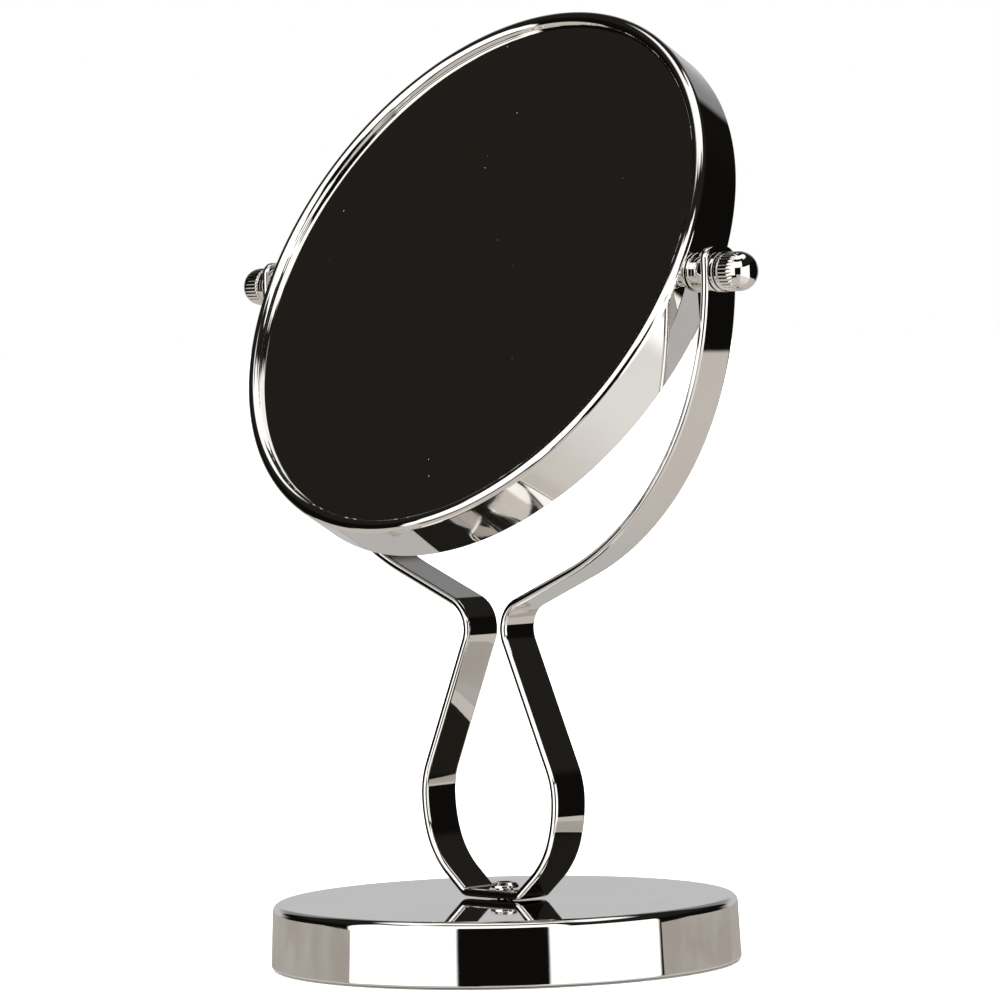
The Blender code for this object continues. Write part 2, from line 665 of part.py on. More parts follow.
def build_pivot(side_name, side, head_axis):
    """Everything on one stud. Heights are distances from the pivot's middle, outwards."""
    outwards = (0, side * math.pi / 2, 0)
    knob_segments = 2 * KNOB_FLUTES
    head_middle = side * HEAD_OFFSET_X
    band_face = head_middle + HEAD_RADIUS
    nut_face = head_middle + HEAD_BORE_RADIUS - STUD_NUT_SEAT
    inner_washer_top = YOKE_INNER_RADIUS - FIT_GAP
    inner_washer_bottom = inner_washer_top - INNER_WASHER_THICKNESS
    clamp_bottom = YOKE_RADIUS + FIT_GAP
    clamp_top = clamp_bottom + CLAMP_WASHER_THICKNESS
    knob_mouth = clamp_top + FIT_GAP
    stud_end = knob_mouth + STUD_PAST_KNOB_MOUTH

    def place(kind, profile, material, segments=SMALL_SEGMENTS, closed=True, start=0.0):
        name = side_name + "_" + kind
        bm = turned(profile, segments, closed)
        location = (side * start, 0, 0)
        return add_piece(name, bm, material(name), head_axis, location, outwards)

    stud = disc_profile(STUD_RADIUS, head_middle + STUD_INNER_END, stud_end, FIT_GAP)
    place("pivot_stud", stud, plated_steel, closed=False)
    nut = ring_profile(STUD_HOLE_RADIUS, hexagon(STUD_NUT_FLATS), nut_face - STUD_NUT_THICKNESS, nut_face)
    place("stud_nut", nut, plated_steel)
    collar_bottom = band_face + FIT_GAP
    place("collar", collar_profile(collar_bottom, inner_washer_bottom - FIT_GAP), chrome)
    inner_washer = ring_profile(STUD_HOLE_RADIUS, INNER_WASHER_RADIUS, inner_washer_bottom, inner_washer_top)
    place("inner_washer", inner_washer, nylon)
    edge = CLAMP_WASHER_EDGE
    clamp = ring_profile(STUD_HOLE_RADIUS, CLAMP_WASHER_RADIUS, clamp_bottom, clamp_top, edge)
    place("clamp_washer", clamp, chrome)
    place("knob", knob_profile(), chrome, knob_segments, closed=False, start=knob_mouth)


def main():
    clear_scene()
    build_base()
    build_foot_fastening()
    build_strip()
    head_axis = empty("head_tilt_axis", (0, 0, PIVOT_HEIGHT), (-math.radians(REST_TILT_DEG), 0, 0))
    build_head(head_axis)
    build_pivot("left", -1, head_axis)
    build_pivot("right", 1, head_axis)


main()
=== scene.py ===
"""Looks of the countertop mirror: fine surfaces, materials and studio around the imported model.

Metres, in the model's frame: +Z up, +X along the tilt axis to the right-hand knob. Every metal and
glass piece that shows is made again as a smooth, finely divided surface of the same size.
"""

import json
import math

import bmesh
import bpy
from mathutils import Matrix, Vector


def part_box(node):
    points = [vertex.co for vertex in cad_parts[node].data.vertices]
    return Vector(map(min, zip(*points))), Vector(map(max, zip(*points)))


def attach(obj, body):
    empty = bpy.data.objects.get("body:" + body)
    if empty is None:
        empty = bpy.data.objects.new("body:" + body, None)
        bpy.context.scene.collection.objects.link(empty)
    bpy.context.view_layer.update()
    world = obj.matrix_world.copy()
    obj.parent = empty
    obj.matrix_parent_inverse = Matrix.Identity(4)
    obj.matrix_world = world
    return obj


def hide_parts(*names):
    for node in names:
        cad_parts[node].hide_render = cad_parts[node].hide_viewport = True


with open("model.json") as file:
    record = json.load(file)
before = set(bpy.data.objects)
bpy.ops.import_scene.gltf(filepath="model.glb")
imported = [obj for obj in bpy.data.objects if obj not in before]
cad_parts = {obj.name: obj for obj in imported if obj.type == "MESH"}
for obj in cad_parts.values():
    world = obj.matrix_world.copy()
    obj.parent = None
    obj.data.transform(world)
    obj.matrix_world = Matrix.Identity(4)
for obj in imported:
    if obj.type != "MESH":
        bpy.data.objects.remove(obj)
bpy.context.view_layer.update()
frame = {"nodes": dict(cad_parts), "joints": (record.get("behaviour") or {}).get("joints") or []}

# ---------------------------------------------------------------- sizes

FIT_GAP = 0.0003
MILLI = 0.001

# Base and foot screw.
BASE_TAPER = 0.8 * MILLI
BASE_EDGE_RADIUS = 2.2 * MILLI
SHELL_WALL = 1.0 * MILLI
RIM_CLEARANCE = 0.6 * MILLI
RIM_CURL_WIDTH = 3.0 * MILLI
RIM_CURL_THICKNESS = 0.8 * MILLI
SCREW_HOLE_RADIUS = 2.8 * MILLI
SCREW_SHANK_RADIUS = 2.5 * MILLI
SCREW_HEAD_HEIGHT = 1.6 * MILLI
SCREW_HEAD_SIDE = 0.7 * MILLI
SCREW_HEAD_SLOPE = 0.9 * MILLI
SCREW_SOCKET_FLATS = 3.0 * MILLI
SCREW_SOCKET_DEPTH = 1.0 * MILLI
SCREW_LEAD_IN_RADIUS = 2.6 * MILLI
SCREW_LEAD_IN_DEPTH = 0.45 * MILLI
SCREW_PLAIN_SHANK = 2.0 * MILLI
PAD_DIMPLE_RADIUS = 4.0 * MILLI
PAD_DIMPLE_DEPTH = 0.5 * MILLI
PAD_DIMPLE_SLOPE = 0.6 * MILLI

# Strip of the stand. The loop's sizes are those of its outer surface.
STRIP_THICKNESS = 2.4 * MILLI
STRIP_EDGE_RADIUS = 1.0 * MILLI
FOOT_CORNER_RADIUS = 4.5 * MILLI
FOOT_SLOPE = math.radians(40.0)
FOOT_BEND_RADIUS = 25.0 * MILLI
LOOP_HALF_WIDTH = 27.86 * MILLI
LOOP_WIDEST_RISE = 29.1 * MILLI
LOOP_LOWER_RADIUS = 37.0 * MILLI
LOOP_UPPER_RADIUS = 22.7 * MILLI
LEG_LEAN = math.radians(24.6)
NECK_RADIUS = 7.3 * MILLI
SHOULDER_SLOPE = math.radians(22.2)
BEND_STEP = math.radians(1.5)
CORNER_STEP = 4 * BEND_STEP
LEAST_BEND_STEPS = 3
LEAST_STRAIGHT_STEPS = 2
NARROWEST_CORNER_SHARE = 0.8
STRAIGHT_STEP = 1.5 * MILLI
ARM_END_RISE = 7.0 * MILLI
ARM_END_CORNER_RADIUS = 3.5 * MILLI
ARM_END_STEPS = 16
STRIP_SHARP_DEG = 50

# Mirror head.
REST_TILT = math.radians(29.25)
HEAD_DEPTH = 16.14 * MILLI
HEAD_WALL = 1.0 * MILLI
FRONT_LIP_RADIUS = 2.2 * MILLI
BACK_EDGE_RADIUS = 0.5 * MILLI
BEZEL_LIP_RADIUS = 2.0 * MILLI
BEZEL_WALL = 1.0 * MILLI
BEZEL_SKIRT = 1.0 * MILLI
LIP_CLEARANCE = 0.02 * MILLI
FRONT_GLASS_THICKNESS = 2.0 * MILLI
REAR_GLASS_THICKNESS = 1.8 * MILLI
REAR_GLASS_CURVE_RADIUS = 1.8
GLASS_MARGIN = 1.9 * MILLI
CUSHION_THICKNESS = 1.0 * MILLI
CUSHION_EDGE_MARGIN = 1.5 * MILLI
CUSHION_WIDTH = 10.0 * MILLI
CUSHION_EDGE = 0.35 * MILLI
CORE_THICKNESS = 1.0 * MILLI
REAR_GLASS_STEPS = 32
FRONT_LIP_STEPS = 26
BEZEL_LIP_STEPS = 24

# Pivots, as distances from the pivot's middle outwards.
STUD_HOLE_RADIUS = 2.3 * MILLI
THREAD_PITCH = 0.7 * MILLI
THREAD_DEPTH = 0.3 * MILLI
THREAD_CREST_START_SHARE = 0.40
THREAD_CREST_END_SHARE = 0.55
COLLAR_FLANGE_THICKNESS = 1.0 * MILLI
COLLAR_SLEEVE_RADIUS = 4.3 * MILLI
COLLAR_WAIST_RADIUS = 3.7 * MILLI
COLLAR_WAIST_START_SHARE = 0.38
COLLAR_WAIST_END_SHARE = 0.52
KNOB_FLANGE_RADIUS = 5.2 * MILLI
KNOB_FLANGE_THICKNESS = 1.1 * MILLI
KNOB_FLANGE_EDGE = 0.14 * MILLI
KNOB_NECK_RADIUS = 5.0 * MILLI
KNOB_NECK_LENGTH = 0.4 * MILLI
KNOB_BORE_DEPTH = 6.2 * MILLI
KNOB_FLUTES = 30
KNOB_FLUTE_DEPTH = 0.20 * MILLI
KNOB_FLUTED_DOME = math.radians(24)
KNOB_DOME_FULLNESS = 2.4
KNOB_SHOULDER = 0.4 * MILLI
KNOB_SHOULDER_STEPS = 6
KNOB_DOME_STEPS = 40

# Divisions of the fine surfaces.
LARGE_SEGMENTS = 288
SMALL_SEGMENTS = 96
FLUTE_SEGMENTS = 12
FILLET_STEP = math.radians(9)
LEAST_FILLET_STEPS = 2
RUN_LIMIT_SHARE = 0.49
SUPPORT_DISTANCE = 0.04 * MILLI
LEAST_RUN = 4 * SUPPORT_DISTANCE
ON_AXIS = 1e-7
LONG_RUN = 20 * MILLI
RUN_SHARES = (0.05, 0.2, 0.5, 0.8, 0.95)

# Camera: where it stands, as seen from the stand's axis, and how it is turned.
CAMERA_AZIMUTH = math.radians(45.975)
CAMERA_DISTANCE = 1.63027
CAMERA_HEIGHT = 0.18254
CAMERA_YAW = math.radians(-0.0455)
CAMERA_PITCH = math.radians(-1.7422)
CAMERA_ROLL = math.radians(-1.3818)
CAMERA_LENS_MM = 204.89


def box_middle(node):
    low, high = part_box(node)
    return (low + high) / 2


def box_size(node):
    low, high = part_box(node)
    return high - low


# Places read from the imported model.
BASE_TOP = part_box("base_shell")[1].z
BASE_RADIUS = box_size("base_shell").x / 2
FOOT_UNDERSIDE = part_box("yoke_strip")[0].z
STRIP_WIDTH = box_size("yoke_strip").y
YOKE_RADIUS = box_size("yoke_strip").x / 2
PIVOT = Vector(next(j["pos_m"] for j in frame["joints"] if j["name"] == "head_tilt"))
HEAD_RADIUS = box_size("rim_band").x / 2
HEAD_MIDDLE_X = box_middle("rim_band").x
HEAD_BORE_RADIUS = HEAD_RADIUS - HEAD_WALL
HALF_DEPTH = HEAD_DEPTH / 2
GLASS_RADIUS = HEAD_BORE_RADIUS - GLASS_MARGIN

# The head's own frame: +Z out of the plain face, at the pivot.
HEAD_FRAME = (
    Matrix.Translation(PIVOT + Vector((HEAD_MIDDLE_X, 0, 0)))
    @ Matrix.Rotation(math.pi / 2 - REST_TILT, 4, "X")
)

# ---------------------------------------------------------------- profiles and turned surfaces


def rounded(corners, closed):
    """Round off an outline's corners, given as (radius, height, fillet), and support its runs.

    Each fillet becomes an arc. A straight run gets a point close to each end, so that the shading
    of a flat face isn't tilted by the curved face beside it.
    """
    count = len(corners)
    rounds = []
    for i, (x, y, fillet) in enumerate(corners):
        point = Vector((x, y))
        if not fillet or (not closed and i in (0, count - 1)):
            rounds.append([point])
            continue
        before = Vector(corners[i - 1][:2]) - point
        after = Vector(corners[(i + 1) % count][:2]) - point
        a, b = before.normalized(), after.normalized()
        half = a.angle(b) / 2
        longest = RUN_LIMIT_SHARE * min(before.length, after.length)
        reach = min(fillet / math.tan(half), longest)
        radius = reach * math.tan(half)
        centre = point + (a + b).normalized() * (radius / math.sin(half))
        start, end = point + a * reach - centre, point + b * reach - centre
        sweep = start.angle_signed(end)
        steps = max(LEAST_FILLET_STEPS, round(abs(sweep) / FILLET_STEP))
        turn = [Matrix.Rotation(-sweep * k / steps, 2) @ start for k in range(steps + 1)]
        rounds.append([centre + p for p in turn])
    points = []
    for i, stretch in enumerate(rounds):
        points += stretch
        if closed or i < count - 1:
            following = rounds[(i + 1) % count][0]
            run = following - stretch[-1]
            if run.length > LEAST_RUN:
                step = run.normalized() * SUPPORT_DISTANCE
                points += [stretch[-1] + step, following - step]
    return [tuple(p) for p in points]


def divided(points):
    """Add points along the long runs of a profile, so that a wide flat face is shaded evenly."""
    result = [points[0]]
    for start, end in zip(points, points[1:]):
        run = Vector(end) - Vector(start)
        if run.length > LONG_RUN:
            result += [tuple(Vector(start) + run * share) for share in RUN_SHARES]
        result.append(end)
    return result


def arc(centre_r, centre_h, radius, start_deg, end_deg, steps):
    """Points of a round stretch of a profile, as (radius, height, no fillet)."""
    points = []
    for i in range(steps + 1):
        angle = math.radians(start_deg + (end_deg - start_deg) * i / steps)
        points.append((centre_r + radius * math.cos(angle), centre_h + radius * math.sin(angle), 0))
    return points


def hexagon(flats):
    """Outline of a hexagon of this width across flats, as radius by angle."""
    sixth = math.pi / 3
    return lambda angle: flats / 2 / math.cos((angle + sixth / 2) % sixth - sixth / 2)


def fluted(radius, depth):
    """Outline of a knurled round: rounded crests with narrow valleys between them."""
    return lambda angle: radius - depth * (1 - abs(math.sin(KNOB_FLUTES * angle / 2))) ** 1.5


def turned(points, segments, closed):
    """Turn a profile of (radius or outline, height) round Z.

    An open profile starts and ends on the axis.
    """
    bm = bmesh.new()
    rings = []
    for size, height in points:
        if not callable(size) and size < ON_AXIS:
            rings.append([bm.verts.new((0, 0, height))] * segments)
            continue
        ring = []
        for i in range(segments):
            angle = 2 * math.pi * i / segments
            radius = size(angle) if callable(size) else size
            ring.append(bm.verts.new((radius * math.cos(angle), radius * math.sin(angle), height)))
        rings.append(ring)
    pairs = list(zip(rings, rings[1:]))
    if closed:
        pairs.append((rings[-1], rings[0]))
    for lower, upper in pairs:
        for i in range(segments):
            j = (i + 1) % segments
            corners = list(dict.fromkeys([lower[i], lower[j], upper[j], upper[i]]))
            if len(corners) > 2:
                bm.faces.new(corners)
    return bm


def finish_mesh(name, bm, material, place=None, sharp_deg=35):
    """Turn a bmesh into an object whose vertices hold its place, shaded smooth with edges kept."""
    if place:
        bm.transform(place)
    bmesh.ops.recalc_face_normals(bm, faces=bm.faces[:])
    mesh = bpy.data.meshes.new(name)
    bm.to_mesh(mesh)
    bm.free()
    mesh.shade_smooth()
    mesh.set_sharp_from_angle(angle=math.radians(sharp_deg))
    mesh.materials.append(material)
    piece = bpy.data.objects.new(name, mesh)
    bpy.context.scene.collection.objects.link(piece)
    return piece


def dress(piece, body, slot, *nodes):
    """The piece rides on a body and stands for CAD nodes, which it hides. The slot argument is not
    used.
    """
    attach(piece, body)
    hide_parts(*nodes)
    return piece


# ---------------------------------------------------------------- shader helpers


class Nodes:
    """Short ways to add shader nodes to one node tree."""

    def __init__(self, tree):
        self.tree = tree

    def add(self, kind, **settings):
        node = self.tree.nodes.new(kind)
        for name, value in settings.items():
            setattr(node, name, value)
        return node

    def link(self, value, socket):
        if isinstance(value, bpy.types.NodeSocket):
            self.tree.links.new(value, socket)
        else:
            socket.default_value = value

    def math(self, operation, a, b=0.0):
        node = self.add("ShaderNodeMath", operation=operation)
        self.link(a, node.inputs[0])
        self.link(b, node.inputs[1])
        return node.outputs[0]

    def dot(self, vector, constant):
        node = self.add("ShaderNodeVectorMath", operation="DOT_PRODUCT")
        self.link(vector, node.inputs[0])
        node.inputs[1].default_value = constant
        return node.outputs["Value"]

    def ramp(self, value, low, high, to_low=0.0, to_high=1.0, smooth=True):
        kind = "SMOOTHSTEP" if smooth else "LINEAR"
        node = self.add("ShaderNodeMapRange", interpolation_type=kind)
        self.link(value, node.inputs["Value"])
        node.inputs["From Min"].default_value = low
        node.inputs["From Max"].default_value = high
        node.inputs["To Min"].default_value = to_low
        node.inputs["To Max"].default_value = to_high
        return node.outputs["Result"]

    def band(self, value, low, high, soft):
        """1 between low and high, falling to 0 over a width of soft at both ends."""
        rise = self.ramp(value, low - soft / 2, low + soft / 2)
        fall = self.ramp(value, high - soft / 2, high + soft / 2, 1.0, 0.0)
        return self.math("MULTIPLY", rise, fall)

    def mix(self, factor, a, b):
        node = self.add("ShaderNodeMix", data_type="RGBA")
        self.link(factor, node.inputs["Factor"])
        for value, socket in ((a, node.inputs[6]), (b, node.inputs[7])):
            self.link(value if isinstance(value, bpy.types.NodeSocket) else (*value, 1.0), socket)
        return node.outputs[2]

    def noise(self, vector, scale, detail=2.0, roughness=0.5, distortion=0.0):
        node = self.add("ShaderNodeTexNoise")
        self.link(vector, node.inputs["Vector"])
        node.inputs["Scale"].default_value = scale
        node.inputs["Detail"].default_value = detail
        node.inputs["Roughness"].default_value = roughness
        node.inputs["Distortion"].default_value = distortion
        return node.outputs["Fac"]

    def cells(self, vector, scale, feature="F1"):
        node = self.add("ShaderNodeTexVoronoi", feature=feature)
        self.link(vector, node.inputs["Vector"])
        node.inputs["Scale"].default_value = scale
        return node.outputs["Distance"]

    def bump(self, height, distance, strength=1.0, normal=None):
        node = self.add("ShaderNodeBump")
        node.inputs["Distance"].default_value = distance
        node.inputs["Strength"].default_value = strength
        self.link(height, node.inputs["Height"])
        if normal:
            self.link(normal, node.inputs["Normal"])
        return node.outputs["Normal"]


def new_material(name):
    """A material, its node helper, its shader and the piece's own coordinates in metres."""
    material = bpy.data.materials.new(name)
    material.use_nodes = True
    nodes = Nodes(material.node_tree)
    shader = material.node_tree.nodes["Principled BSDF"]
    place = nodes.add("ShaderNodeTexCoord").outputs["Object"]
    return material, nodes, shader, place


# ---------------------------------------------------------------- materials


def make_chrome():
    """Bright decorative chrome: faint orange peel, wiping marks, a few fingerprints of haze."""
    material, nodes, shader, place = new_material("bright_chrome")
    haze = nodes.noise(place, 38, detail=4, roughness=0.6, distortion=0.6)
    fine = nodes.noise(place, 620, detail=3, roughness=0.6)
    peel = nodes.noise(place, 210, detail=1)
    tone = nodes.mix(nodes.ramp(haze, 0.35, 0.75), (0.90, 0.885, 0.865), (0.865, 0.845, 0.82))
    nodes.link(tone, shader.inputs["Base Color"])
    shader.inputs["Metallic"].default_value = 1.0
    smear = nodes.ramp(haze, 0.45, 0.80, 0.022, 0.060)
    grain = nodes.ramp(fine, 0.50, 0.85, 0.0, 0.03)
    nodes.link(nodes.math("ADD", smear, grain), shader.inputs["Roughness"])
    nodes.link(nodes.bump(peel, 0.0000035), shader.inputs["Normal"])
    return material


def make_mirror_glass():
    """Silvered glass: even and very smooth, with fine dust and a faint wiping haze."""
    material, nodes, shader, place = new_material("silvered_glass")
    dust = nodes.ramp(nodes.cells(place, 230), 0.030, 0.045, 1.0, 0.0)
    scarce = nodes.ramp(nodes.noise(place, 95, detail=2), 0.60, 0.66)
    speck = nodes.math("MULTIPLY", dust, scarce)
    haze = nodes.noise(place, 14, detail=3, roughness=0.6)
    tone = nodes.mix(speck, (0.88, 0.885, 0.86), (0.55, 0.54, 0.50))
    nodes.link(tone, shader.inputs["Base Color"])
    nodes.link(nodes.ramp(speck, 0.0, 1.0, 1.0, 0.2), shader.inputs["Metallic"])
    veil = nodes.ramp(haze, 0.4, 0.8, 0.004, 0.016)
    rough = nodes.math("ADD", veil, nodes.math("MULTIPLY", speck, 0.5))
    nodes.link(rough, shader.inputs["Roughness"])
    return material


def make_zinc():
    """Bright zinc plate: faint crystal mottling, brushed by handling."""
    material, nodes, shader, place = new_material("zinc_plate")
    spangle = nodes.cells(place, 420)
    mottle = nodes.noise(place, 160, detail=4)
    tone = nodes.mix(nodes.ramp(spangle, 0.1, 0.6), (0.70, 0.70, 0.68), (0.58, 0.59, 0.60))
    nodes.link(tone, shader.inputs["Base Color"])
    shader.inputs["Metallic"].default_value = 1.0
    nodes.link(nodes.ramp(mottle, 0.3, 0.7, 0.24, 0.38), shader.inputs["Roughness"])
    nodes.link(nodes.bump(mottle, 0.00002), shader.inputs["Normal"])
    return material


def make_iron():
    """Grey cast iron as it left the sand: rough skin, with rust bloom in the hollows."""
    material, nodes, shader, place = new_material("cast_iron")
    skin = nodes.noise(place, 900, detail=5, roughness=0.7)
    bloom = nodes.noise(place, 60, detail=4, roughness=0.6)
    tone = nodes.mix(nodes.ramp(bloom, 0.55, 0.75), (0.085, 0.085, 0.09), (0.16, 0.09, 0.06))
    nodes.link(tone, shader.inputs["Base Color"])
    shader.inputs["Metallic"].default_value = 0.6
    nodes.link(nodes.ramp(skin, 0.3, 0.7, 0.62, 0.85), shader.inputs["Roughness"])
    nodes.link(nodes.bump(skin, 0.0002), shader.inputs["Normal"])
    return material


def make_foam():
    """Dark closed-cell foam: small open cells on its skin, matt, with painted shade darkening their
    pits.
    """
    material, nodes, shader, place = new_material("closed_cell_foam")
    cell = nodes.cells(place, 1500)
    cloud = nodes.noise(place, 120, detail=3)
    tone = nodes.mix(nodes.ramp(cloud, 0.3, 0.7), (0.030, 0.030, 0.033), (0.052, 0.052, 0.055))
    # Painted shade: the colour darkens towards the middle of each cell, where the bump sinks its
    # pit.
    pit_shaded_tone = nodes.mix(nodes.ramp(cell, 0.0, 0.35), (0.012, 0.012, 0.013), tone)
    nodes.link(pit_shaded_tone, shader.inputs["Base Color"])
    nodes.link(nodes.ramp(cell, 0.0, 0.5, 0.80, 0.95), shader.inputs["Roughness"])
    shader.inputs["Sheen Weight"].default_value = 0.15
    nodes.link(nodes.bump(cell, 0.00015), shader.inputs["Normal"])
    return material


def make_board():
    """Grey-brown pressed board: short fibres in two tones."""
    material, nodes, shader, place = new_material("pressed_board")
    fibre = nodes.noise(place, 700, detail=5, roughness=0.75, distortion=1.5)
    tone = nodes.mix(nodes.ramp(fibre, 0.35, 0.65), (0.30, 0.23, 0.155), (0.44, 0.36, 0.26))
    nodes.link(tone, shader.inputs["Base Color"])
    nodes.link(nodes.ramp(fibre, 0.3, 0.7, 0.78, 0.92), shader.inputs["Roughness"])
    nodes.link(nodes.bump(fibre, 0.00008), shader.inputs["Normal"])
    return material


def make_nylon():
    """Natural moulded nylon: milky, slightly waxy, with a faint matt texture."""
    material, nodes, shader, place = new_material("natural_nylon")
    texture = nodes.noise(place, 1100, detail=3)
    cloud = nodes.noise(place, 240, detail=2)
    tone = nodes.mix(nodes.ramp(cloud, 0.3, 0.7), (0.74, 0.73, 0.69), (0.80, 0.79, 0.76))
    nodes.link(tone, shader.inputs["Base Color"])
    nodes.link(nodes.ramp(texture, 0.3, 0.7, 0.36, 0.50), shader.inputs["Roughness"])
    shader.inputs["Subsurface Weight"].default_value = 0.08
    shader.inputs["Subsurface Scale"].default_value = 0.001
    nodes.link(nodes.bump(texture, 0.00001), shader.inputs["Normal"])
    return material


CHROME = make_chrome()
MIRROR = make_mirror_glass()
ZINC = make_zinc()
IRON = make_iron()
FOAM = make_foam()
BOARD = make_board()
NYLON = make_nylon()

# ---------------------------------------------------------------- base


def build_base_shell():
    """Drawn cup: flat top with its hole, rolled edge, slightly flared side, rim curled inwards."""
    top_radius = BASE_RADIUS - BASE_TAPER
    underside = BASE_TOP - SHELL_WALL
    curl_top = RIM_CLEARANCE + RIM_CURL_THICKNESS
    curl_radius = BASE_RADIUS - SHELL_WALL - RIM_CURL_WIDTH
    corners = [
        (SCREW_HOLE_RADIUS, BASE_TOP, 0.1 * MILLI),
        (top_radius, BASE_TOP, BASE_EDGE_RADIUS),
        (BASE_RADIUS, RIM_CLEARANCE, 0.6 * MILLI),
        (curl_radius, RIM_CLEARANCE, 0.3 * MILLI),
        (curl_radius, curl_top, 0.3 * MILLI),
        (BASE_RADIUS - SHELL_WALL, curl_top, 0.2 * MILLI),
        (top_radius - SHELL_WALL, underside, BASE_EDGE_RADIUS - SHELL_WALL),
        (SCREW_HOLE_RADIUS, underside, 0.1 * MILLI),
    ]
    bm = turned(divided(rounded(corners, True)), LARGE_SEGMENTS, True)
    dress(finish_mesh("base_cup", bm, CHROME), "stand", "chrome", "base_shell")


def build_base_pad():
    """Foam disc with softly rounded edges, a shallow recess in its middle where it was punched."""
    low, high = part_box("base_pad")
    radius = (high.x - low.x) / 2
    floor = low.z + PAD_DIMPLE_DEPTH
    corners = [
        (0, floor, 0),
        (PAD_DIMPLE_RADIUS, floor, 0.2 * MILLI),
        (PAD_DIMPLE_RADIUS + PAD_DIMPLE_SLOPE, low.z, 0.3 * MILLI),
        (radius, low.z, 0.5 * MILLI),
        (radius, high.z, 0.3 * MILLI),
        (0, high.z, 0),
    ]
    bm = turned(rounded(corners, False), LARGE_SEGMENTS, False)
    pad = dress(finish_mesh("foam_foot_pad", bm, FOAM), "stand", "foam", "base_pad")


def build_foot_screw():
    """Low round head with a sloping edge, a lead-in and a hexagon socket, on a threaded shank."""
    low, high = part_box("foot_screw")
    radius = (high.x - low.x) / 2
    head_bottom = high.z - SCREW_HEAD_HEIGHT
    floor = high.z - SCREW_SOCKET_DEPTH
    head = [
        (SCREW_SHANK_RADIUS, head_bottom, 0.1 * MILLI),
        (radius, head_bottom, 0.15 * MILLI),
        (radius, head_bottom + SCREW_HEAD_SIDE, 0.3 * MILLI),
        (radius - SCREW_HEAD_SLOPE, high.z, 0.5 * MILLI),
        (SCREW_LEAD_IN_RADIUS, high.z, 0.12 * MILLI),
        (SCREW_SOCKET_FLATS / 2, high.z - SCREW_LEAD_IN_DEPTH, 0),
    ]
    points = [(0, low.z), (SCREW_SHANK_RADIUS - 2 * THREAD_DEPTH, low.z)]
    thread_end = head_bottom - SCREW_PLAIN_SHANK
    points += thread(low.z + THREAD_DEPTH, thread_end, SCREW_SHANK_RADIUS)
    points += rounded([(SCREW_SHANK_RADIUS, thread_end, 0), *head], False)[:-1]
    socket = hexagon(SCREW_SOCKET_FLATS)
    points += [(socket, high.z - SCREW_LEAD_IN_DEPTH), (socket, floor), (0, floor)]
    bm = turned(points, SMALL_SEGMENTS, False)
    dress(finish_mesh("foot_screw_fine", bm, CHROME), "stand", "chrome", "foot_screw")


def thread(start, end, radius):
    """Crests and roots of a fine thread along a shank, as (radius, height)."""
    turns = int((end - start) / THREAD_PITCH)
    pitch = (end - start) / turns
    points = []
    for i in range(turns):
        base = start + i * pitch
        points.append((radius - THREAD_DEPTH, base))
        points.append((radius, base + pitch * THREAD_CREST_START_SHARE))
        points.append((radius, base + pitch * THREAD_CREST_END_SHARE))
    points.append((radius - THREAD_DEPTH, end))
    return points


# ---------------------------------------------------------------- strip


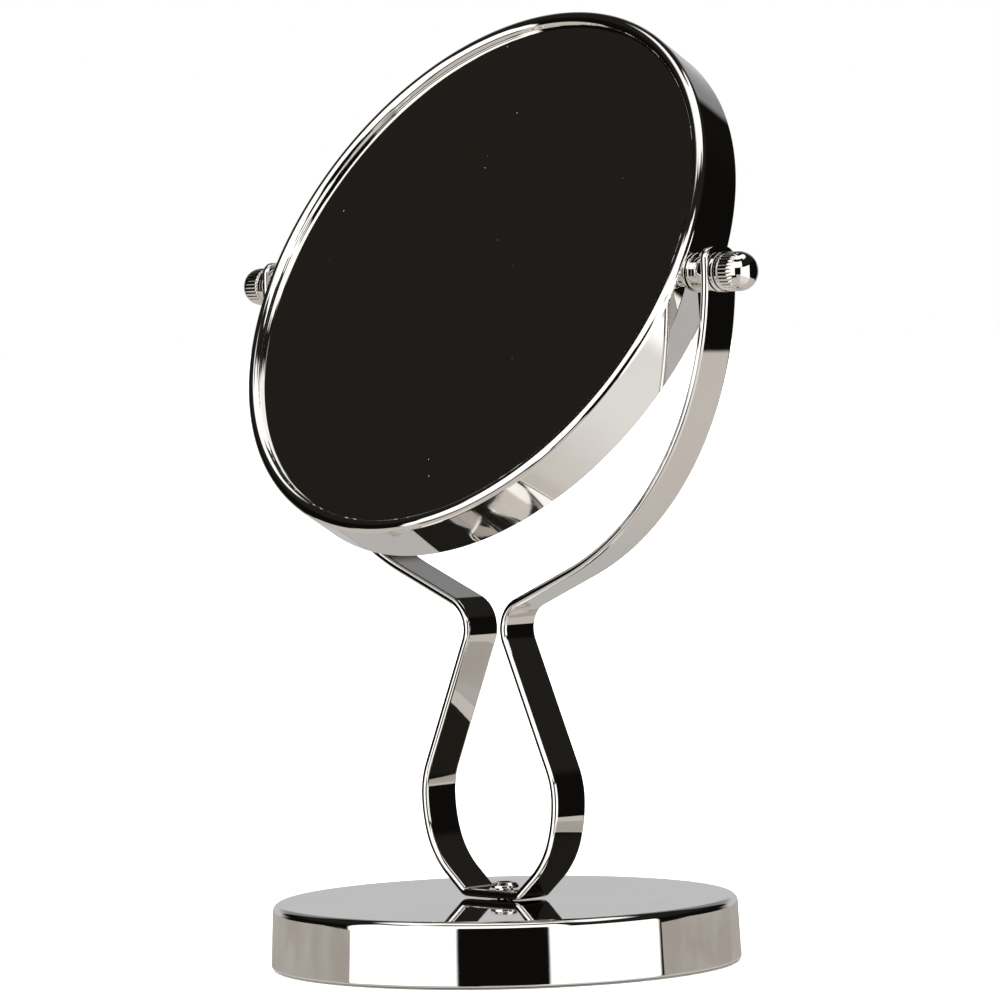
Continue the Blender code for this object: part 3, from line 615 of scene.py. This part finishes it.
def strip_stations():
    """Places along the strip's right half, from the foot's middle to the arm's tip.

    Each is (point on the outer surface, direction angle, half width), in the XZ plane.
    """
    stations = []
    half = STRIP_WIDTH / 2

    def bend(centre, radius, start, end, turn=1, step=BEND_STEP):
        steps = max(LEAST_BEND_STEPS, math.ceil(abs(end - start) / step))
        for i in range(1, steps + 1):
            a = start + (end - start) * i / steps
            point = centre + Vector((math.cos(a), math.sin(a))) * radius
            stations.append((point, a + turn * math.pi / 2, half))

    def straight(end, angle):
        start = stations[-1][0]
        steps = max(LEAST_STRAIGHT_STEPS, math.ceil((end - start).length / STRAIGHT_STEP))
        for i in range(1, steps + 1):
            stations.append((start.lerp(end, i / steps), angle, half))

    widest = BASE_TOP + LOOP_WIDEST_RISE
    lower_centre = Vector((LOOP_HALF_WIDTH - LOOP_LOWER_RADIUS, widest))
    upper_centre = Vector((LOOP_HALF_WIDTH - LOOP_UPPER_RADIUS, widest))
    # The foot's bend touches the foot's height and the lower bend from inside. It ends in a
    # straight slope, which meets the flat foot in a tight corner.
    bend_height = FOOT_UNDERSIDE + FOOT_BEND_RADIUS
    reach = math.sqrt((LOOP_LOWER_RADIUS - FOOT_BEND_RADIUS) ** 2 - (bend_height - widest) ** 2)
    foot_centre = Vector((lower_centre.x + reach, bend_height))
    meet = foot_centre - lower_centre
    meet_angle = math.atan2(meet.y, meet.x)
    slope_angle = FOOT_SLOPE - math.pi / 2
    slope_side = Vector((math.cos(slope_angle), math.sin(slope_angle)))
    slope_top = foot_centre + slope_side * FOOT_BEND_RADIUS
    corner_x = slope_top.x - (slope_top.y - FOOT_UNDERSIDE) / math.tan(FOOT_SLOPE)
    flat_end = corner_x - FOOT_CORNER_RADIUS * math.tan(FOOT_SLOPE / 2)
    corner_centre = Vector((flat_end, FOOT_UNDERSIDE + FOOT_CORNER_RADIUS))
    stations.append((Vector((0, FOOT_UNDERSIDE)), 0.0, half))
    straight(Vector((flat_end, FOOT_UNDERSIDE)), 0.0)
    bend(corner_centre, FOOT_CORNER_RADIUS, -math.pi / 2, slope_angle, step=CORNER_STEP)
    straight(slope_top, FOOT_SLOPE)
    bend(foot_centre, FOOT_BEND_RADIUS, slope_angle, meet_angle)
    bend(lower_centre, LOOP_LOWER_RADIUS, meet_angle, 0)
    bend(upper_centre, LOOP_UPPER_RADIUS, 0, LEG_LEAN)
    # The leg and the shoulder are straight, and the neck's bend touches both from outside.
    leg_start = stations[-1][0]
    leg_way = Vector((-math.sin(LEG_LEAN), math.cos(LEG_LEAN)))
    leg_side = Vector((math.cos(LEG_LEAN), math.sin(LEG_LEAN)))
    pivot = Vector((0, PIVOT.z))
    shoulder_way = Vector((math.cos(SHOULDER_SLOPE), math.sin(SHOULDER_SLOPE)))
    shoulder_side = Vector((math.sin(SHOULDER_SLOPE), -math.cos(SHOULDER_SLOPE)))
    shoulder_end = pivot + shoulder_side * YOKE_RADIUS
    apart = shoulder_end + shoulder_side * NECK_RADIUS - leg_start - leg_side * NECK_RADIUS
    leg_length = apart.cross(shoulder_way) / leg_way.cross(shoulder_way)
    neck_centre = leg_start + leg_side * NECK_RADIUS + leg_way * leg_length
    straight(neck_centre - leg_side * NECK_RADIUS, math.pi / 2 + LEG_LEAN)
    bend(neck_centre, NECK_RADIUS, math.pi + LEG_LEAN, math.pi / 2 + SHOULDER_SLOPE, turn=-1)
    straight(shoulder_end, SHOULDER_SLOPE)
    bend(pivot, YOKE_RADIUS, SHOULDER_SLOPE - math.pi / 2, 0)
    # The arm's end is cut square above the pivot, with its two corners rounded.
    corner = ARM_END_CORNER_RADIUS
    for i in range(ARM_END_STEPS + 1):
        turn = math.pi / 2 * i / ARM_END_STEPS
        a = math.asin((ARM_END_RISE - corner + corner * math.sin(turn)) / YOKE_RADIUS)
        point = pivot + Vector((math.cos(a), math.sin(a))) * YOKE_RADIUS
        stations.append((point, a + math.pi / 2, half - corner + corner * math.cos(turn)))
    return stations


def strip_section(bm, point, angle, half_width):
    """One cross section of the strip, a rectangle with well rounded corners."""
    inward = Vector((-math.sin(angle), math.cos(angle)))
    corner = min(STRIP_EDGE_RADIUS, half_width * NARROWEST_CORNER_SHARE)
    outline = rounded(
        [
            (-half_width, 0, corner),
            (half_width, 0, corner),
            (half_width, STRIP_THICKNESS, corner),
            (-half_width, STRIP_THICKNESS, corner),
        ],
        True,
    )
    ring = []
    for across, depth in outline:
        place = point + inward * depth
        ring.append(bm.verts.new((place.x, across, place.y)))
    return ring


def build_strip():
    """Bent strip of the stand. Its holes for the studs and the foot screw are left out."""
    right = strip_stations()
    left = [(Vector((-p.x, p.y)), -angle, half) for p, angle, half in reversed(right[1:])]
    bm = bmesh.new()
    sections = [strip_section(bm, *station) for station in left + right]
    for first, second in zip(sections, sections[1:]):
        for k in range(len(first)):
            n = (k + 1) % len(first)
            bm.faces.new([first[k], first[n], second[n], second[k]])
    bm.faces.new(sections[0])
    bm.faces.new(sections[-1])
    strip = finish_mesh("bent_strip", bm, CHROME, sharp_deg=STRIP_SHARP_DEG)
    dress(strip, "stand", "chrome", "yoke_strip")


# ---------------------------------------------------------------- mirror head


def build_rim_band():
    """Rolled band: round front lip that curls down to the glass, thin wall, softened back edge.

    Its holes for the studs are left out.
    """
    lip = FRONT_LIP_RADIUS
    corners = [(HEAD_RADIUS, -HALF_DEPTH, BACK_EDGE_RADIUS)]
    hang = FIT_GAP - LIP_CLEARANCE
    curl_end = 180 + math.degrees(math.asin(hang / lip))
    corners += arc(HEAD_RADIUS - lip, HALF_DEPTH - lip, lip, 0, curl_end, FRONT_LIP_STEPS)
    corners += [
        (HEAD_BORE_RADIUS, HALF_DEPTH - lip - hang, 0),
        (HEAD_BORE_RADIUS, -HALF_DEPTH, 0.15 * MILLI),
    ]
    bm = turned(rounded(corners, True), LARGE_SEGMENTS, True)
    dress(finish_mesh("rolled_band", bm, CHROME, HEAD_FRAME), "mirror_head", "chrome", "rim_band")


def build_rear_bezel():
    """Pressed ring of the rear glass: round lip outside and a short skirt inside."""
    radius = HEAD_BORE_RADIUS - FIT_GAP
    lip = BEZEL_LIP_RADIUS
    seat = -HALF_DEPTH + lip
    wall = radius - BEZEL_WALL
    hang = FIT_GAP - LIP_CLEARANCE
    curl_start = -180 - math.degrees(math.asin(hang / lip))
    corners = arc(radius - lip, seat, lip, curl_start, 0, BEZEL_LIP_STEPS)
    corners += [
        (radius, seat + BEZEL_SKIRT, 0.2 * MILLI),
        (wall, seat + BEZEL_SKIRT, 0.2 * MILLI),
        (wall, seat + hang, 0),
    ]
    bm = turned(rounded(corners, True), LARGE_SEGMENTS, True)
    bezel = finish_mesh("pressed_bezel", bm, CHROME, HEAD_FRAME)
    dress(bezel, "mirror_head", "chrome", "rear_bezel")


def build_front_glass():
    """Plain glass, flat on both faces, with softened edges."""
    face = HALF_DEPTH - FRONT_LIP_RADIUS - FIT_GAP
    back = face - FRONT_GLASS_THICKNESS
    corners = [
        (0, back, 0),
        (GLASS_RADIUS, back, 0.3 * MILLI),
        (GLASS_RADIUS, face, 0.3 * MILLI),
        (0, face, 0),
    ]
    bm = turned(divided(rounded(corners, False)), LARGE_SEGMENTS, False)
    glass = finish_mesh("plain_mirror_glass", bm, MIRROR, HEAD_FRAME)
    dress(glass, "mirror_head", "mirror_glass", "front_glass")


def build_rear_glass():
    """Magnifying glass: both faces follow one shallow curve."""
    edge_face = -HALF_DEPTH + BEZEL_LIP_RADIUS + FIT_GAP
    curve = REAR_GLASS_CURVE_RADIUS
    edge_drop = math.sqrt(curve**2 - GLASS_RADIUS**2)
    radii = [GLASS_RADIUS * i / REAR_GLASS_STEPS for i in range(REAR_GLASS_STEPS + 1)]
    outer = [(r, edge_face + math.sqrt(curve**2 - r**2) - edge_drop) for r in radii]
    inner = [(r, h + REAR_GLASS_THICKNESS) for r, h in reversed(outer)]
    bm = turned(outer + inner, LARGE_SEGMENTS, False)
    glass = finish_mesh("magnifying_glass", bm, MIRROR, HEAD_FRAME)
    dress(glass, "mirror_head", "mirror_glass", "rear_glass")


def build_cushions():
    """Foam rings behind both glasses, with soft edges."""
    face = HALF_DEPTH - FRONT_LIP_RADIUS - FRONT_GLASS_THICKNESS - 2 * FIT_GAP
    outer = GLASS_RADIUS - CUSHION_EDGE_MARGIN
    inner = outer - CUSHION_WIDTH
    core_face = face - CUSHION_THICKNESS - FIT_GAP
    core_back = core_face - CORE_THICKNESS
    curve = REAR_GLASS_CURVE_RADIUS
    sag = math.sqrt(curve**2 - inner**2) - math.sqrt(curve**2 - GLASS_RADIUS**2)
    rear_edge = -HALF_DEPTH + BEZEL_LIP_RADIUS + FIT_GAP + REAR_GLASS_THICKNESS
    rear_face = rear_edge + sag + FIT_GAP
    rings = (
        ("front", face - CUSHION_THICKNESS, face),
        ("rear", rear_face, core_back - FIT_GAP),
    )
    for side, low, high in rings:
        edge = CUSHION_EDGE
        corners = [(inner, low, edge), (outer, low, edge), (outer, high, edge), (inner, high, edge)]
        bm = turned(rounded(corners, True), SMALL_SEGMENTS, True)
        ring = finish_mesh(side + "_foam_ring", bm, FOAM, HEAD_FRAME)
        dress(ring, "mirror_head", "foam", side + "_cushion")


# ---------------------------------------------------------------- pivots


def span(node, side):
    """Start and end of a node of one pivot, as distances outwards, and its outer radius."""
    low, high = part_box(node)
    ends = sorted((side * low.x, side * high.x))
    return ends[0], ends[1], (high.y - low.y) / 2


def collar_corners(bottom, top, radius):
    """Flange against the band, then a sleeve with a waist if there is room for one."""
    edge = 0.25 * MILLI
    bore = STUD_HOLE_RADIUS
    sleeve_start = bottom + COLLAR_FLANGE_THICKNESS
    if top - sleeve_start < edge:
        return [(bore, bottom, 0), (radius, bottom, edge), (radius, top, edge), (bore, top, 0)]
    length = top - sleeve_start
    waist_start = sleeve_start + length * COLLAR_WAIST_START_SHARE
    waist_end = sleeve_start + length * COLLAR_WAIST_END_SHARE
    return [
        (bore, bottom, 0),
        (radius, bottom, edge),
        (radius, sleeve_start, edge),
        (COLLAR_SLEEVE_RADIUS, sleeve_start, 0.1 * MILLI),
        (COLLAR_SLEEVE_RADIUS, waist_start, edge),
        (COLLAR_WAIST_RADIUS, waist_start + edge, 0.1 * MILLI),
        (COLLAR_WAIST_RADIUS, waist_end - edge, 0.1 * MILLI),
        (COLLAR_SLEEVE_RADIUS, waist_end, edge),
        (COLLAR_SLEEVE_RADIUS, top, 0.1 * MILLI),
        (bore, top, 0),
    ]


def knob_profile(length, radius):
    """Thumb nut from its mouth at height 0: flange, neck, knurled body, dome and a blind bore."""
    body_start = KNOB_FLANGE_THICKNESS + KNOB_NECK_LENGTH
    dome_start = length - radius
    corners = [
        (STUD_HOLE_RADIUS, KNOB_BORE_DEPTH, 0),
        (STUD_HOLE_RADIUS, 0, 0.15 * MILLI),
        (KNOB_FLANGE_RADIUS, 0, KNOB_FLANGE_EDGE),
        (KNOB_FLANGE_RADIUS, KNOB_FLANGE_THICKNESS, KNOB_FLANGE_EDGE),
        (KNOB_NECK_RADIUS, KNOB_FLANGE_THICKNESS, 0.08 * MILLI),
        (KNOB_NECK_RADIUS, body_start, 0),
    ]
    points = [(0, KNOB_BORE_DEPTH), *rounded(corners, False)]
    for i in range(KNOB_SHOULDER_STEPS + 1):
        quarter = math.pi / 2 * i / KNOB_SHOULDER_STEPS
        drop = KNOB_SHOULDER * (1 - math.sin(quarter))
        height = body_start + KNOB_SHOULDER * (1 - math.cos(quarter))
        points.append((fluted(radius - drop, KNOB_FLUTE_DEPTH), height))
    for i in range(KNOB_DOME_STEPS + 1):
        angle = math.pi / 2 * i / KNOB_DOME_STEPS
        depth = KNOB_FLUTE_DEPTH * max(0.0, 1 - (angle / KNOB_FLUTED_DOME) ** 3)
        height = dome_start + radius * math.sin(angle) ** (2 / KNOB_DOME_FULLNESS)
        width = radius * math.cos(angle) ** (2 / KNOB_DOME_FULLNESS)
        if i == KNOB_DOME_STEPS:
            points.append((0, height))
        else:
            points.append((fluted(width, depth) if depth else width, height))
    return points


def build_pivot(side_name, side):
    """Everything on one stud, turned about its axis and laid along X."""
    outwards = Matrix.Translation(PIVOT) @ Matrix.Rotation(side * math.pi / 2, 4, "Y")

    def ring(kind, corners, material, body, slot, closed=True):
        node = side_name + "_" + kind
        bm = turned(rounded(corners, closed), SMALL_SEGMENTS, closed)
        dress(finish_mesh(node + "_fine", bm, material, outwards), body, slot, node)

    start, end, radius = span(side_name + "_collar", side)
    ring("collar", collar_corners(start, end, radius), CHROME, "mirror_head", "chrome")
    for kind, edge, material, body, slot in (
        ("inner_washer", 0.1 * MILLI, NYLON, "mirror_head", "nylon"),
        ("clamp_washer", 0.14 * MILLI, CHROME, side_name + "_clamp", "chrome"),
    ):
        start, end, radius = span(side_name + "_" + kind, side)
        bore = STUD_HOLE_RADIUS
        corners = [(bore, start, 0), (radius, start, edge), (radius, end, edge), (bore, end, 0)]
        ring(kind, corners, material, body, slot)

    start, end, radius = span(side_name + "_pivot_stud", side)
    chamfer = THREAD_DEPTH
    stud = [(0, start), (radius - chamfer, start)]
    stud += thread(start + chamfer, end - chamfer, radius)
    stud += [(radius - chamfer, end), (0, end)]
    bm = turned(stud, SMALL_SEGMENTS, False)
    piece = finish_mesh(side_name + "_threaded_stud", bm, ZINC, outwards)
    dress(piece, "mirror_head", "plated_steel", side_name + "_pivot_stud")

    start, end, radius = span(side_name + "_knob", side)
    bm = turned(knob_profile(end - start, radius), KNOB_FLUTES * FLUTE_SEGMENTS, False)
    place = outwards @ Matrix.Translation((0, 0, start))
    piece = finish_mesh(side_name + "_knurled_knob", bm, CHROME, place)
    dress(piece, side_name + "_thumb_knob", "chrome", side_name + "_knob")


def dress_carried_nodes():
    """The CAD nodes that stay get their finished materials."""
    finishes = {
        "base_weight": IRON,
        "base_plate": ZINC,
        "foot_washer": ZINC,
        "foot_spring_washer": ZINC,
        "foot_nut": ZINC,
        "core_disc": BOARD,
        "left_stud_nut": ZINC,
        "right_stud_nut": ZINC,
    }
    for node, material in finishes.items():
        mesh = frame["nodes"][node].data
        mesh.materials.clear()
        mesh.materials.append(material)


# ---------------------------------------------------------------- studio

# Window limits in degrees that lie past the end of their scale, and the studio's own turn.
FROM_FRONT = -10
ALL_ROUND = 400
STRAIGHT_DOWN = -100
STRAIGHT_UP = 100
STUDIO_TURN = math.radians(1.5)

# Studio tones, in linear light.
DARK = (0.0045, 0.0042, 0.0036)
DARK_CEILING = (0.0150, 0.0140, 0.0112)
SOFTBOX = (1.35, 1.34, 1.32)
OVERHEAD = (1.20, 1.19, 1.17)
BACKDROP = (0.54, 0.537, 0.545)
BACKDROP_HIGH = (0.235, 0.235, 0.238)
TABLE = (0.57, 0.53, 0.49)
TABLE_BEHIND = (0.48, 0.47, 0.455)
TABLE_NEAR_LIGHT = (0.80, 0.78, 0.755)
TABLE_UNDER_LIGHT = (0.63, 0.60, 0.56)

# Cards at both sides of the base: a near grey one that the base's side mirrors, and a far one of
# table tone. Their near and far ends are angles round the stand from the camera's direction.
GREY_CARD_DISTANCE = 0.11
GREY_CARD_TOP = 0.0138
GREY_CARD_BOTTOM = -0.0095
TABLE_CARD_DISTANCE = 0.30
TABLE_CARD_TOP = -0.030
TABLE_CARD_BOTTOM = -0.105
GREY_CARD_NEAR_DEG = 58.3
TABLE_CARD_NEAR_DEG = 78.0
SIDE_CARD_FAR_DEG = 142.0
SIDE_CARD_COLUMNS = 24
FLOOR_HALF_SIZE = 40
LAMP_ENERGY = 6.0
LAMP_ANGLE = math.radians(120)
LAMP_LEAN = (math.radians(8), math.radians(-5), 0)
SIDE_CARD_TONE = (0.39, 0.355, 0.32)
SIDE_CARD_TONE_LIGHT = (0.44, 0.425, 0.40)


def make_world():
    """Light tent seen by reflections.

    It has a dark front opening, a softbox at each side and one across the front above, a bright
    ceiling, a grey backdrop behind and a pale table below, brighter under the right-hand light.

    Directions are fixed in the scene: the heading is 0 towards the camera's stand, positive to its
    right, and the rise is the angle above level. The eye sees plain white behind the object.
    """
    world = bpy.data.worlds.new("studio")
    bpy.context.scene.world = world
    world.use_nodes = True
    nodes = Nodes(world.node_tree)
    background = world.node_tree.nodes["Background"]
    way = nodes.add("ShaderNodeTexCoord").outputs["Generated"]
    front = (math.sin(CAMERA_AZIMUTH), -math.cos(CAMERA_AZIMUTH), 0)
    right = (math.cos(CAMERA_AZIMUTH), math.sin(CAMERA_AZIMUTH), 0)
    heading = nodes.math("ARCTAN2", nodes.dot(way, right), nodes.dot(way, front))
    rise = nodes.math("ARCSINE", nodes.dot(way, (0, 0, 1)))
    sweep = nodes.math("ADD", heading, STUDIO_TURN)
    turn = nodes.math("ABSOLUTE", sweep)

    def window(side, low, high, rise_low, rise_high, soft, soft_across=None):
        edge = math.radians(soft if soft_across is None else soft_across)
        across = nodes.band(side, math.radians(low), math.radians(high), edge)
        lowest, highest = math.radians(rise_low), math.radians(rise_high)
        along = nodes.band(rise, lowest, highest, math.radians(soft))
        return nodes.math("MULTIPLY", across, along)

    def fade(value, low, high, first, second):
        return nodes.mix(nodes.ramp(value, math.radians(low), math.radians(high)), first, second)

    colour = fade(rise, 20, 30, DARK, DARK_CEILING)
    behind = window(turn, 149.5, ALL_ROUND, -18, 36, 5)
    colour = nodes.mix(behind, colour, fade(rise, 7, 22, BACKDROP, BACKDROP_HIGH))
    colour = nodes.mix(window(turn, 141, ALL_ROUND, -19, 11, 6, 18), colour, BACKDROP)
    table = fade(turn, 130, 170, TABLE, TABLE_BEHIND)
    colour = nodes.mix(window(turn, FROM_FRONT, ALL_ROUND, STRAIGHT_DOWN, -19, 1.2), colour, table)
    colour = nodes.mix(window(sweep, -78, -12, -36, -18, 3), colour, DARK)
    colour = nodes.mix(window(sweep, -82, -22.5, -22, 46, 3, 2), colour, SOFTBOX)
    colour = nodes.mix(window(sweep, -62, 34, 19, 53, 3), colour, SOFTBOX)
    near_light = fade(rise, -75, -42, TABLE_UNDER_LIGHT, TABLE_NEAR_LIGHT)
    colour = nodes.mix(window(sweep, 18, 86, STRAIGHT_DOWN, -16, 3, 8), colour, near_light)
    right_light = window(sweep, 22.5, 82, -60, 17, 2)
    low_fade = nodes.ramp(rise, math.radians(-26), math.radians(-17))
    colour = nodes.mix(nodes.math("MULTIPLY", right_light, low_fade), colour, SOFTBOX)
    colour = nodes.mix(window(turn, 62, 152, 57, STRAIGHT_UP, 6), colour, OVERHEAD)
    colour = nodes.mix(window(turn, FROM_FRONT, 152, 70, STRAIGHT_UP, 5), colour, OVERHEAD)
    colour = nodes.mix(window(turn, FROM_FRONT, ALL_ROUND, 80, STRAIGHT_UP, 5), colour, OVERHEAD)
    seen = nodes.add("ShaderNodeLightPath").outputs["Is Camera Ray"]
    nodes.link(nodes.mix(seen, colour, (1.0, 1.0, 1.0)), background.inputs["Color"])


def make_floor():
    """Plain pale floor, which the chrome doesn't mirror."""
    material, nodes, shader, place = new_material("pale_floor")
    cloud = nodes.noise(place, 1.5, detail=3)
    tone = nodes.mix(cloud, (0.90, 0.90, 0.90), (0.93, 0.93, 0.925))
    nodes.link(tone, shader.inputs["Base Color"])
    shader.inputs["Roughness"].default_value = 0.9
    shader.inputs["Specular IOR Level"].default_value = 0.0
    bm = bmesh.new()
    bmesh.ops.create_grid(bm, x_segments=8, y_segments=8, size=FLOOR_HALF_SIZE)
    floor = finish_mesh("floor", bm, material)
    floor.visible_glossy = False


def make_side_cards():
    """Two bent cards a side, near and far, which only reflections see."""
    grey = (SIDE_CARD_TONE, SIDE_CARD_TONE_LIGHT)
    table = (TABLE, TABLE)
    grey_rise = (GREY_CARD_BOTTOM, GREY_CARD_TOP)
    table_rise = (TABLE_CARD_BOTTOM, TABLE_CARD_TOP)
    for kind, distance, near_deg, heights, tones in (
        ("grey", GREY_CARD_DISTANCE, GREY_CARD_NEAR_DEG, grey_rise, grey),
        ("table", TABLE_CARD_DISTANCE, TABLE_CARD_NEAR_DEG, table_rise, table),
    ):
        glow = bpy.data.materials.new(kind + "_card_tone")
        glow.use_nodes = True
        nodes = Nodes(glow.node_tree)
        emission = nodes.add("ShaderNodeEmission")
        place = nodes.add("ShaderNodeTexCoord").outputs["Object"]
        blotch = nodes.ramp(nodes.noise(place, 40, detail=3, distortion=0.4), 0.35, 0.7)
        nodes.link(nodes.mix(blotch, *tones), emission.inputs["Color"])
        output = glow.node_tree.nodes["Material Output"]
        nodes.link(emission.outputs[0], output.inputs["Surface"])
        for side, side_name in ((-1, "left"), (1, "right")):
            bm = bmesh.new()
            columns = []
            for i in range(SIDE_CARD_COLUMNS + 1):
                share = i / SIDE_CARD_COLUMNS
                turned_by = near_deg + (SIDE_CARD_FAR_DEG - near_deg) * share
                turn = CAMERA_AZIMUTH - math.pi / 2 + side * math.radians(turned_by)
                x, y = distance * math.cos(turn), distance * math.sin(turn)
                columns.append([bm.verts.new((x, y, z)) for z in heights])
            for first, second in zip(columns, columns[1:]):
                bm.faces.new([first[0], second[0], second[1], first[1]])
            card = finish_mesh(side_name + "_" + kind + "_card", bm, glow)
            card.visible_camera = False
            card.visible_diffuse = False
            card.visible_shadow = False
            card.visible_transmission = False


def make_light():
    """One broad soft light from above, which the chrome doesn't mirror."""
    lamp = bpy.data.lights.new("overhead", "SUN")
    lamp.energy = LAMP_ENERGY
    lamp.angle = LAMP_ANGLE
    light = bpy.data.objects.new("overhead", lamp)
    light.rotation_euler = LAMP_LEAN
    light.visible_glossy = False
    bpy.context.scene.collection.objects.link(light)


def make_camera():
    """Camera fitted to the outlines of the object in the photograph."""
    data = bpy.data.cameras.new("camera")
    data.sensor_width = 36.0
    data.lens = CAMERA_LENS_MM
    data.clip_start, data.clip_end = 0.05, 100.0
    camera = bpy.data.objects.new("camera", data)
    bpy.context.scene.collection.objects.link(camera)
    heading = CAMERA_AZIMUTH + CAMERA_YAW
    level = math.cos(CAMERA_PITCH)
    ahead = Vector((-math.sin(heading) * level, math.cos(heading) * level, math.sin(CAMERA_PITCH)))
    right = Vector((math.cos(heading), math.sin(heading), 0))
    up = right.cross(ahead)
    turned_right = math.cos(CAMERA_ROLL) * right + math.sin(CAMERA_ROLL) * up
    turned_up = -math.sin(CAMERA_ROLL) * right + math.cos(CAMERA_ROLL) * up
    place = Matrix((turned_right, turned_up, -ahead)).transposed().to_4x4()
    place.translation = Vector(
        (
            CAMERA_DISTANCE * math.sin(CAMERA_AZIMUTH),
            -CAMERA_DISTANCE * math.cos(CAMERA_AZIMUTH),
            CAMERA_HEIGHT,
        )
    )
    camera.matrix_world = place
    bpy.context.scene.camera = camera
    bpy.context.scene.view_settings.view_transform = "Standard"


# ---------------------------------------------------------------- make everything

build_base_shell()
build_base_pad()
build_foot_screw()
build_strip()
build_rim_band()
build_rear_bezel()
build_front_glass()
build_rear_glass()
build_cushions()
build_pivot("left", -1)
build_pivot("right", 1)
dress_carried_nodes()
make_world()
make_floor()
make_side_cards()
make_light()
make_camera()
